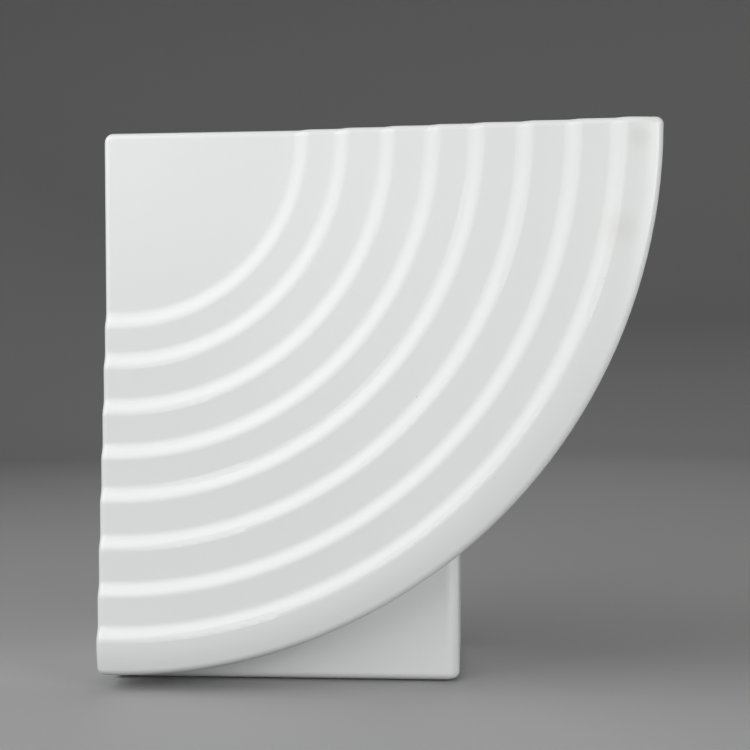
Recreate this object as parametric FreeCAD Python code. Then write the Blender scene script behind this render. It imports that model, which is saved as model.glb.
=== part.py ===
import FreeCAD, Part
import math
import os

# Hanging wall vase of white porcelain, in millimetres.
# X runs to the viewer's right, Y runs away from the viewer into the wall, Z is up.
# The origin is the middle of the space that the vase takes, on the surface that it stands on.

V = FreeCAD.Vector

# Overall sizes of the quarter-round plate
overall_height = 246.0
rim_radius = 237.0
centre_from_left = 8.0
centre_below_top = 2.5

# Steps of the plate: where each one stands as a share of the rim's radius, and how much steeper than
# its mean slope its riser is, between once and twice
ridge_radius_shares = (0.343, 0.419, 0.505, 0.588, 0.668, 0.755, 0.841, 0.92)
step_height = 2.5
step_width = 8.0
step_slope_share = 1.6

# Thickness and edges of the plate
sector_thickness = 4.5
plate_skin = 5.0
plate_flange = 7.0
rim_crown_slope = math.radians(14)
rim_edge_round = 4.0
rim_inner_round_share = 0.6
rim_back_bevel = 1.5
plate_edge_round = 3.0
plate_corner_round = 4.0
hollow_past_first_ridge = 5.0

# Vessel behind the plate
vessel_width = 158.0
vessel_depth = 80.0
vessel_top_drop = 2.0
vessel_wall = 5.0
vessel_floor = 6.0
vessel_edge_round = 6.0
vessel_base_round = 3.5
vessel_inner_round = 3.0
mouth_round = 1.2

# Back cover of the plate's wing
cover_thickness = 4.0
cover_ledge = 3.0
cover_lap = 14.0
vent_radius = 1.8
vent_from_vessel = 26.0
vent_below_top = 30.0

# Back wall of the vessel with the hanging holes
panel_thickness = 8.0
panel_step = 2.0
hanging_hole_radius = 4.0
hanging_hole_spacing = 90.0
hanging_hole_drop = 26.0
hole_edge_round = 1.0

# Slip seam inside the vessel, and the foot
seam_coil_round = 3.0
seam_coil_drop = 4.0
bead_start = 2.0
foot_height = 0.8
foot_width = 5.0
foot_inset = 6.0
foot_corner_round = 4.0

# Turn that lays the disc's start line towards the corner, clear of the plate's straight edges
seam_turn = -135

# Gap left between two pieces at a luted fit, and how far a cutting tool runs past what it cuts
fit_clearance = 0.3
overrun = 1.0

# Planes and places that several pieces share
plate_width = centre_from_left + rim_radius
plate_depth = sector_thickness + step_height * len(ridge_radius_shares)
left_x = -plate_width / 2
right_x = left_x + vessel_width
back_y = (vessel_depth + plate_depth) / 2
front_y = back_y - vessel_depth
rim_face_y = front_y - plate_depth
sector_y = front_y - sector_thickness
panel_y = back_y - panel_thickness
step_y = panel_y - panel_step
base_z = foot_height
floor_z = base_z + vessel_floor
top_z = overall_height
mouth_z = top_z - vessel_top_drop
inner_left_x = left_x + vessel_wall
inner_right_x = right_x - vessel_wall
inner_front_y = front_y + vessel_wall
centre_x = left_x + centre_from_left
centre_z = top_z - centre_below_top
ridge_radii = [share * rim_radius for share in ridge_radius_shares]
rim_lip = plate_flange - cover_ledge


def box(x_range, y_range, z_range):
    """A block between its lowest and highest coordinates."""
    size = [high - low for low, high in (x_range, y_range, z_range)]
    return Part.makeBox(*size, V(x_range[0], y_range[0], z_range[0]))


def rod_along_y(radius, x, z, y_range):
    """A round rod or disc along Y."""
    return Part.makeCylinder(radius, y_range[1] - y_range[0], V(x, y_range[0], z), V(0, 1, 0))


def near(value, target):
    """Whether two coordinates are the same but for rounding."""
    return abs(value - target) < fit_clearance / 100


def edges_on(shape, **places):
    """The edges that lie wholly in the named planes, such as x=0 or z=5."""
    found = []
    for edge in shape.Edges:
        b = edge.BoundBox
        span = {"x": (b.XMin, b.XMax), "y": (b.YMin, b.YMax), "z": (b.ZMin, b.ZMax)}
        if all(near(span[axis][0], at) and near(span[axis][1], at) for axis, at in places.items()):
            found.append(edge)
    return found


def step_edges(radius, level_y):
    """One soft step from the inner band outwards: an arc, a straight riser and an arc back to level."""
    half_width = step_width / 2
    half_height = step_height / 2
    slope = step_slope_share * math.atan(step_height / step_width)
    whole_rise = math.tan(slope)
    arc_rise = math.tan(slope / 2)
    riser_run = (half_height - half_width * arc_rise) / (whole_rise - arc_rise)
    arc_run = half_width - riser_run
    arc_radius = arc_run / math.sin(slope)
    start = V(radius - half_width, level_y, 0)
    end = V(radius + half_width, level_y - step_height, 0)
    riser_start = start + V(arc_run, -arc_run * arc_rise, 0)
    riser_end = end + V(-arc_run, arc_run * arc_rise, 0)
    arc_middle = V(arc_radius * math.sin(slope / 2), -arc_radius * (1 - math.cos(slope / 2)), 0)
    foot_arc = Part.Arc(start, start + arc_middle, riser_start)
    head_arc = Part.Arc(riser_end, end - arc_middle, end)
    return [foot_arc.toShape(), Part.makeLine(riser_start, riser_end), head_arc.toShape()], start, end


def terrace_edges(here, radii):
    """Flat bands with a soft step at each radius, from the given point outwards."""
    edges = []
    for radius in radii:
        arcs, start, end = step_edges(radius, here.y)
        edges += [Part.makeLine(here, start)] + arcs
        here = end
    return edges, here


def arc_about(centre, radius, start_angle, end_angle):
    """An arc in the profile's plane between two angles, and its two ends."""
    angles = (start_angle, (start_angle + end_angle) / 2, end_angle)
    start, middle, end = [centre + V(radius * math.cos(a), radius * math.sin(a), 0) for a in angles]
    return Part.Arc(start, middle, end).toShape(), start, end


def rim_edges(here):
    """The outer band falls away in a slow crown, which a small round turns back to the rim's side."""
    toward_viewer = -math.pi / 2
    crown_end = toward_viewer + rim_crown_slope
    edge_centre_x = rim_radius - rim_edge_round
    crown_end_x = edge_centre_x + rim_edge_round * math.cos(crown_end)
    crown_radius = (crown_end_x - here.x) / math.sin(rim_crown_slope)
    crown_centre = here + V(0, crown_radius, 0)
    crown, _, crown_stop = arc_about(crown_centre, crown_radius, toward_viewer, crown_end)
    edge_centre = V(edge_centre_x, crown_stop.y - rim_edge_round * math.sin(crown_end), 0)
    edge, _, side = arc_about(edge_centre, rim_edge_round, crown_end, 0)
    return [crown, edge], side


def turn_about_centre(edges):
    """Turn a closed profile of radius and depth about the axis that all the arcs share."""
    face = Part.Face(Part.Wire(Part.__sortEdges__(edges)))
    solid = face.revolve(V(0, 0, 0), V(0, 1, 0), 360)
    solid.rotate(V(0, 0, 0), V(0, 1, 0), seam_turn)
    solid.translate(V(centre_x, 0, centre_z))
    return solid


def terraced_disc():
    """The whole disc that the plate is a quarter of, each band nearer the viewer than the last."""
    middle_front = V(0, sector_y, 0)
    middle_back = V(0, front_y, 0)
    edges, here = terrace_edges(middle_front, ridge_radii)
    front_arcs, side = rim_edges(here)
    bevel_start = V(rim_radius, front_y - rim_back_bevel, 0)
    bevel_end = V(rim_radius - rim_back_bevel, front_y, 0)
    edges += front_arcs + [Part.makeLine(side, bevel_start), Part.makeLine(bevel_start, bevel_end)]
    edges += [Part.makeLine(bevel_end, middle_back), Part.makeLine(middle_back, middle_front)]
    return turn_about_centre(edges)


def hollow_disc():
    """The hollow behind the steps: one skin behind the front, and one flange inside the rim."""
    first_radius = ridge_radii[0] + hollow_past_first_ridge
    last_radius = rim_radius - plate_flange
    start = V(first_radius, sector_y - step_height + plate_skin, 0)
    edges, here = terrace_edges(start, ridge_radii[1:])
    inner_round = (last_radius - here.x) * rim_inner_round_share
    arc_centre = V(last_radius - inner_round, here.y + inner_round, 0)
    arc, arc_start, arc_end = arc_about(arc_centre, inner_round, -math.pi / 2, 0)
    mouth_outer = V(last_radius, front_y + overrun, 0)
    mouth_inner = V(first_radius, front_y + overrun, 0)
    edges += [Part.makeLine(here, arc_start), arc, Part.makeLine(arc_end, mouth_outer)]
    edges += [Part.makeLine(mouth_outer, mouth_inner), Part.makeLine(mouth_inner, start)]
    return turn_about_centre(edges)


def quadrant(margin, first_x=left_x):
    """The block that cuts the quarter out of a disc, a margin in from the plate's straight edges."""
    reach = rim_radius + overrun
    x_range = (first_x + margin, centre_x + reach)
    y_range = (rim_face_y - overrun, front_y + 2 * overrun)
    z_range = (centre_z - reach, top_z - margin)
    return box(x_range, y_range, z_range)


def cover_region(gap, y_range):
    """Behind the plate's wing, from the lap on the vessel out to the rim's lip, less a gap all round."""
    disc = rod_along_y(rim_radius - rim_lip - gap, centre_x, centre_z, y_range)
    lap_x = right_x - cover_lap - rim_lip
    return disc.common(quadrant(rim_lip + gap, lap_x))


def relief_plate():
    """Front casting: a terraced quarter-round skin with its edges turned back to the vessel's face."""
    plate = terraced_disc().common(quadrant(0))
    plate = plate.makeFillet(plate_corner_round, edges_on(plate, x=left_x, z=top_z))
    straight_sides = edges_on(plate, x=left_x) + edges_on(plate, z=top_z)
    at_back = [edge.hashCode() for edge in edges_on(plate, y=front_y)]
    front_edges = [edge for edge in straight_sides if edge.hashCode() not in at_back]
    plate = plate.makeFillet(plate_edge_round, front_edges)
    plate = plate.cut(hollow_disc().common(quadrant(plate_flange)))
    return plate.cut(cover_region(0, (front_y - cover_thickness, front_y + overrun)))


def plate_back_cover():
    """Slab that closes the hollow of the wing, with the small vent that the kiln needs."""
    cover = cover_region(fit_clearance, (front_y - cover_thickness, front_y))
    vent_range = (front_y - cover_thickness - overrun, front_y + overrun)
    vent = rod_along_y(vent_radius, right_x + vent_from_vessel, top_z - vent_below_top, vent_range)
    return cover.cut(vent)


def vessel_body():
    """Floor, front wall and side walls of the block, open at the top and at the back."""
    body = box((left_x, right_x), (front_y, panel_y), (base_z, mouth_z))
    body = body.makeFillet(vessel_edge_round, edges_on(body, x=right_x, y=front_y))
    base_edges = [edge for edge in edges_on(body, z=base_z) if not near(edge.BoundBox.YMin, panel_y)]
    body = body.makeFillet(vessel_base_round, base_edges)
    room = box((inner_left_x, inner_right_x), (inner_front_y, panel_y + overrun), (floor_z, mouth_z + overrun))
    room_edges = edges_on(room, x=inner_left_x, y=inner_front_y) + edges_on(room, x=inner_right_x, y=inner_front_y)
    room_edges += [edge for edge in edges_on(room, z=floor_z) if near(edge.BoundBox.YMin, inner_front_y)]
    body = body.cut(room.makeFillet(vessel_inner_round, room_edges))
    mouth_edges = [edge for edge in edges_on(body, z=mouth_z) if not near(edge.BoundBox.YMin, panel_y)]
    return body.makeFillet(mouth_round, mouth_edges)


def wall_panel():
    """Back wall of the vessel: it hangs by two holes, and a raised step seats it between the walls."""
    panel = box((left_x, right_x), (panel_y, back_y), (base_z, mouth_z))
    uprights = edges_on(panel, x=left_x, y=back_y) + edges_on(panel, x=right_x, y=back_y)
    panel = panel.makeFillet(vessel_edge_round, uprights)
    base_edges = [edge for edge in edges_on(panel, z=base_z) if not near(edge.BoundBox.YMax, panel_y)]
    panel = panel.makeFillet(vessel_base_round, base_edges)
    step_x = (inner_left_x + fit_clearance, inner_right_x - fit_clearance)
    step = box(step_x, (step_y, panel_y), (floor_z + fit_clearance, mouth_z))
    panel = panel.fuse(step).removeSplitter()
    outer_edges = [edge for edge in edges_on(panel, z=mouth_z) if edge.BoundBox.YMax > panel_y + fit_clearance]
    panel = panel.makeFillet(mouth_round, outer_edges + edges_on(panel, y=step_y, z=mouth_z))
    middle_x = left_x + vessel_width / 2
    hole_z = mouth_z - hanging_hole_drop
    for side in (-1, 1):
        hole_x = middle_x + side * hanging_hole_spacing / 2
        panel = panel.cut(rod_along_y(hanging_hole_radius, hole_x, hole_z, (step_y - overrun, back_y + overrun)))
    inner_rims = [edge for edge in edges_on(panel, y=step_y)
                  if isinstance(edge.Curve, Part.Circle) and near(edge.Curve.Radius, hanging_hole_radius)]
    return panel.makeFillet(hole_edge_round, inner_rims)


def inner_seam_coil(body):
    """Coil of slip pressed into the corners where the back wall meets the side walls and the floor."""
    front = step_y - seam_coil_round - overrun
    room = box((inner_left_x, inner_right_x), (front, step_y), (floor_z, mouth_z - seam_coil_drop))
    corners = edges_on(room, x=inner_left_x, y=step_y) + edges_on(room, x=inner_right_x, y=step_y)
    corners += edges_on(room, y=step_y, z=floor_z)
    return room.cut(room.makeFillet(seam_coil_round, corners)).cut(body)


def plate_seam_bead():
    """Cove of slip between the cover's back and the vessel's rounded right edge."""
    vessel_centre_x = right_x - vessel_edge_round
    cove_x = right_x + vessel_edge_round
    cove_y = front_y + vessel_edge_round
    low_z = centre_z - math.sqrt((rim_radius - rim_back_bevel) ** 2 - (cove_x - centre_x) ** 2)
    high_z = mouth_z - mouth_round
    bead = box((vessel_centre_x + bead_start, cove_x), (front_y, cove_y), (low_z, high_z))
    for x in (vessel_centre_x, cove_x):
        bead = bead.cut(Part.makeCylinder(vessel_edge_round, high_z - low_z, V(x, cove_y, low_z)))
    return bead


def foot_ring():
    """Low unglazed frame that the vase stands on, set in from the vessel's walls."""
    def frame(inset, z_range):
        shape = box((left_x + inset, right_x - inset), (front_y + inset, back_y - inset), z_range)
        uprights = []
        for x in (left_x + inset, right_x - inset):
            for y in (front_y + inset, back_y - inset):
                uprights += edges_on(shape, x=x, y=y)
        return shape.makeFillet(foot_corner_round, uprights)

    outer = frame(foot_inset, (0, foot_height))
    return outer.cut(frame(foot_inset + foot_width, (-overrun, foot_height + overrun)))


def write(name, shape):
    """Write one piece, and say how many solids it has, whether it is sound and how large it is."""
    shape = shape.removeSplitter()
    shape.exportStep("parts/" + name + ".step")
    print(name, len(shape.Solids), "solids", "valid" if shape.isValid() else "broken", round(shape.Volume))


os.makedirs("parts", exist_ok=True)
vessel = vessel_body()
write("relief_plate", relief_plate())
write("plate_back_cover", plate_back_cover())
write("vessel_body", vessel)
write("wall_panel", wall_panel())
write("inner_seam_coil", inner_seam_coil(vessel))
write("plate_seam_bead", plate_seam_bead())
write("foot_ring", foot_ring())
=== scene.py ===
import math

import bmesh
import bpy
from mathutils import Matrix, Vector

# Looks for the porcelain wall vase. Metres, in the CAD model's own frame:
# X runs to the viewer's right, Y runs away from the viewer, Z is up, and the table is at Z = 0.

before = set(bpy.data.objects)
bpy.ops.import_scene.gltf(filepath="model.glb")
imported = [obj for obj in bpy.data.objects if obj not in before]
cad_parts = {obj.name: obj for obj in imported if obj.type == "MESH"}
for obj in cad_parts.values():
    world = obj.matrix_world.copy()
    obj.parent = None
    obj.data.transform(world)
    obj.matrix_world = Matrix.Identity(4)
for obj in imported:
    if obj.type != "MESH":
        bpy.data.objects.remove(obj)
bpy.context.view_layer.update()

# Camera: the spot that it looks at, and where it stands from there
aim_x = -0.00355
aim_z = 0.1368
camera_distance = 0.6065
camera_turn = math.radians(4.233)
camera_tilt_down = math.radians(1.004)
camera_roll = math.radians(0.29)
camera_lens_mm = 62.4
camera_sensor_mm = 36.0

# Table and backdrop: one round sweep, far enough out for a camera on any side
sweep_floor_radius = 1.3
sweep_bend_radius = 0.7
sweep_height = 2.2
sweep_segments = 96
sweep_bend_steps = 16
sweep_colour = (0.38, 0.38, 0.38)
sweep_bounce_colour = (0.16, 0.16, 0.16)
sweep_roughness = 0.7

# Soft boxes, each with its name, place, size and watts:
# a large one on the left, one low on the right, one in front and one behind
soft_boxes = (
    ("sky", (-0.77, -0.42, 0.68), 1.15, 10.2),
    ("front", (0.87, -0.78, 0.37), 0.65, 7.2),
    ("fill", (-0.28, -1.05, 0.50), 0.6, 2.2),
    ("back", (0.25, 1.2, 1.0), 1.0, 3.5),
)
soft_box_target = Vector((0, 0, aim_z))
world_strength = 0.05
world_colour = (1, 1, 1, 1)

# Glaze, in linear colours: it drifts slowly between two of them and pools in the seams
glaze_colour = (0.83, 0.85, 0.84)
glaze_thin_colour = (0.81, 0.828, 0.818)
pooled_colour = (0.78, 0.825, 0.825)
drift_width = 0.12
drift_limits = (0.2, 0.8)
glaze_roughness = 0.28
pooled_roughness = 0.16
glaze_index = 1.5

# The glaze's slow wave and fine orange peel, both of plain noise
wave_width = 0.06
wave_depth = 0.0006
peel_width = 0.004
peel_depth = 0.00001
plain_detail = 0

# Bare clay of the foot: its colours, its wear from handling and its grain
clay_colour = (0.78, 0.76, 0.72)
clay_worn_colour = (0.60, 0.58, 0.54)
clay_roughness = 0.9
wear_width = 0.012
wear_detail = 6
wear_limits = (0.35, 0.7)
grain_width = 0.0006
grain_detail = 3
grain_depth = 0.0001

# Flaws of the plate's glaze and spots of painted shade, each spot with its place and radius
smudge_spots = (((0.1118, -0.0520, 0.2370), 0.007), ((0.1036, -0.0520, 0.1990), 0.011))
# Pinholes as painted shade: small darker dots in the glaze colour stand for the shade in tiny pits, with no
# pit in the shape
pinhole_shade_spots = (
    ((0.0968, -0.0522, 0.1780), 0.0009),
    ((0.0511, -0.0522, 0.0939), 0.0008),
    ((0.0169, -0.0522, 0.0662), 0.0007),
)
speck_spots = (((0.0177, -0.0448, 0.1282), 0.0004),)

# Each kind of spot, flaws and painted shade alike: its spots, the share of their radius over which they
# fade, and its colour
plate_flaws_and_shade = (
    (smudge_spots, 1.0, (0.78, 0.78, 0.755)),
    # painted shade of the pinholes
    (pinhole_shade_spots, 0.7, (0.76, 0.765, 0.755)),
    (speck_spots, 0.5, (0.58, 0.55, 0.52)),
)

# Numbers of the mix node's sockets for its factor and its colours, whose names aren't unique
mix_factor = 0
mix_base = 6
mix_top = 7
mix_result = 2


class Nodes:
    """A material's node tree. Its ways to make a value or a colour return an output socket."""

    def __init__(self, name, roughness):
        self.material = bpy.data.materials.new(name)
        self.material.use_nodes = True
        self.tree = self.material.node_tree
        self.tree.nodes.clear()
        self.shader = self.add("ShaderNodeBsdfPrincipled")
        self.shader.inputs["Roughness"].default_value = roughness
        output = self.add("ShaderNodeOutputMaterial")
        self.join(self.shader.outputs["BSDF"], output, "Surface")
        self.place = self.add("ShaderNodeTexCoord").outputs["Object"]

    def add(self, kind, **settings):
        """A new node, with its own settings by attribute name."""
        node = self.tree.nodes.new(kind)
        for name, value in settings.items():
            setattr(node, name, value)
        return node

    def join(self, socket, node, entry):
        """Link an output socket to a node's input, given by its name or number."""
        self.tree.links.new(socket, node.inputs[entry])

    def noise(self, width, detail):
        """Noise in the object's own space whose features are about this many metres across."""
        noise = self.add("ShaderNodeTexNoise")
        noise.inputs["Scale"].default_value = 1 / width
        noise.inputs["Detail"].default_value = detail
        self.join(self.place, noise, "Vector")
        return noise.outputs["Fac"]

    def spread(self, socket, limits, ends=(0, 1)):
        """Stretch a value between two limits to two ends, and hold it there."""
        spread = self.add("ShaderNodeMapRange", interpolation_type="SMOOTHSTEP")
        for name, value in zip(("From Min", "From Max", "To Min", "To Max"), (*limits, *ends)):
            spread.inputs[name].default_value = value
        self.join(socket, spread, "Value")
        return spread.outputs["Result"]

    def spot(self, place, radius, softness):
        """One at the middle of a round spot, falling to nothing at its edge over a share of its radius."""
        away = self.add("ShaderNodeVectorMath", operation="DISTANCE")
        away.inputs[1].default_value = place
        self.join(self.place, away, 0)
        return self.spread(away.outputs["Value"], (radius * (1 - softness), radius), (1, 0))

    def spots(self, places, softness):
        """Several spots as one value."""
        total, *others = [self.spot(place, radius, softness) for place, radius in places]
        for other in others:
            both = self.add("ShaderNodeMath", operation="ADD", use_clamp=True)
            self.join(total, both, 0)
            self.join(other, both, 1)
            total = both.outputs["Value"]
        return total

    def blend(self, factor, base, top):
        """Mix two colours; each is a plain colour or an output socket."""
        mix = self.add("ShaderNodeMix", data_type="RGBA")
        self.join(factor, mix, mix_factor)
        for entry, colour in ((mix_base, base), (mix_top, top)):
            if isinstance(colour, tuple):
                mix.inputs[entry].default_value = (*colour, 1)
            else:
                self.join(colour, mix, entry)
        return mix.outputs[mix_result]

    def bump(self, height, depth):
        """A bump node that raises the surface by a value times this many metres."""
        bump = self.add("ShaderNodeBump")
        bump.inputs["Strength"].default_value = 1
        bump.inputs["Distance"].default_value = depth
        self.join(height, bump, "Height")
        return bump


def porcelain_glaze(name, colour, thin_colour, roughness, flaws_and_shade=()):
    """Cool white glaze: a faint drift in colour, a slow wave, a fine orange peel, and any spots of flaws
    and painted shade.
    """
    n = Nodes(name, roughness)
    drift = n.spread(n.noise(drift_width, plain_detail), drift_limits)
    look = n.blend(drift, colour, thin_colour)
    for places, softness, spot_colour in flaws_and_shade:
        look = n.blend(n.spots(places, softness), look, spot_colour)
    n.join(look, n.shader, "Base Color")
    wave = n.bump(n.noise(wave_width, plain_detail), wave_depth)
    peel = n.bump(n.noise(peel_width, plain_detail), peel_depth)
    n.join(wave.outputs["Normal"], peel, "Normal")
    n.join(peel.outputs["Normal"], n.shader, "Normal")
    n.shader.inputs["IOR"].default_value = glaze_index
    return n.material


def bare_clay():
    """Unglazed clay of the foot, ground flat: matt, a little darker where it was handled."""
    n = Nodes("bare_porcelain", clay_roughness)
    wear = n.spread(n.noise(wear_width, wear_detail), wear_limits)
    n.join(n.blend(wear, clay_colour, clay_worn_colour), n.shader, "Base Color")
    grain = n.bump(n.noise(grain_width, grain_detail), grain_depth)
    n.join(grain.outputs["Normal"], n.shader, "Normal")
    return n.material


def sweep_material():
    """Pale to the camera and in reflections, darker in the soft light that it throws back on the vase."""
    n = Nodes("pale_sweep", sweep_roughness)
    rays = n.add("ShaderNodeLightPath")
    seen = n.blend(rays.outputs["Is Diffuse Ray"], sweep_colour, sweep_bounce_colour)
    n.join(seen, n.shader, "Base Color")
    return n.material


def dress(node, material):
    """Give a CAD node's material slots this material, and let its large faces lead the shading."""
    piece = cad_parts[node]
    for slot in piece.material_slots:
        slot.material = material
    piece.modifiers.new("even_shading", "WEIGHTED_NORMAL")


def link(name, data):
    """A new object of this data, in the scene."""
    thing = bpy.data.objects.new(name, data)
    bpy.context.scene.collection.objects.link(thing)
    return thing


def sweep_profile():
    """Distance out and height of the sweep's rings, from the floor's edge up the bend to the wall's top."""
    profile = [(sweep_floor_radius, 0)]
    for step in range(1, sweep_bend_steps + 1):
        angle = math.pi / 2 * step / sweep_bend_steps
        out = sweep_floor_radius + sweep_bend_radius * math.sin(angle)
        up = sweep_bend_radius * (1 - math.cos(angle))
        profile.append((out, up))
    profile.append((sweep_floor_radius + sweep_bend_radius, sweep_height))
    return profile


def make_sweep():
    """A round, flat floor that bends up smoothly into a wall all the way round."""
    turns = [2 * math.pi * k / sweep_segments for k in range(sweep_segments)]
    mesh = bmesh.new()
    rings = []
    for out, up in sweep_profile():
        rings.append([mesh.verts.new((out * math.cos(turn), out * math.sin(turn), up)) for turn in turns])
    mesh.faces.new(rings[0])
    for inner, outer in zip(rings, rings[1:]):
        for k in range(sweep_segments):
            after = (k + 1) % sweep_segments
            face = mesh.faces.new((inner[k], outer[k], outer[after], inner[after]))
            face.smooth = True
    data = bpy.data.meshes.new("sweep")
    mesh.to_mesh(data)
    mesh.free()
    data.materials.append(sweep_material())
    link("sweep", data)


def soft_light(name, place, size, watts):
    """A square soft box that faces the vase's middle and stays out of the camera's sight."""
    data = bpy.data.lights.new(name, "AREA")
    data.size = size
    data.energy = watts
    light = link(name, data)
    light.location = place
    light.visible_camera = False
    light.rotation_euler = (soft_box_target - Vector(place)).to_track_quat("-Z", "Y").to_euler()


def make_world():
    """A faint, even white light from all round."""
    world = bpy.data.worlds.new("studio")
    world.use_nodes = True
    background = world.node_tree.nodes["Background"]
    background.inputs["Strength"].default_value = world_strength
    background.inputs["Color"].default_value = world_colour
    bpy.context.scene.world = world


def make_camera():
    """The photograph's view: a little from the right, from just over mid height, looking slightly down."""
    level = Vector((-math.sin(camera_turn), math.cos(camera_turn), 0))
    forward = level * math.cos(camera_tilt_down) - Vector((0, 0, math.sin(camera_tilt_down)))
    turn = forward.to_track_quat("-Z", "Y").to_matrix() @ Matrix.Rotation(-camera_roll, 3, "Z")
    stand = Vector((aim_x, 0, aim_z)) - camera_distance * forward
    data = bpy.data.cameras.new("camera")
    data.lens = camera_lens_mm
    data.sensor_width = camera_sensor_mm
    camera = link("camera", data)
    camera.matrix_world = Matrix.Translation(stand) @ turn.to_4x4()
    bpy.context.scene.camera = camera


glaze_look = (glaze_colour, glaze_thin_colour, glaze_roughness)
glaze = porcelain_glaze("glazed_porcelain", *glaze_look)
pooled_glaze = porcelain_glaze("pooled_glaze", pooled_colour, glaze_colour, pooled_roughness)
plate_glaze = porcelain_glaze("glazed_relief", *glaze_look, flaws_and_shade=plate_flaws_and_shade)
dress("relief_plate", plate_glaze)
for piece in ("plate_back_cover", "vessel_body", "wall_panel"):
    dress(piece, glaze)
for piece in ("inner_seam_coil", "plate_seam_bead"):
    dress(piece, pooled_glaze)
dress("foot_ring", bare_clay())

for name, place, size, watts in soft_boxes:
    soft_light(name, place, size, watts)
make_world()
make_sweep()
make_camera()
bpy.context.scene.view_settings.view_transform = "Standard"
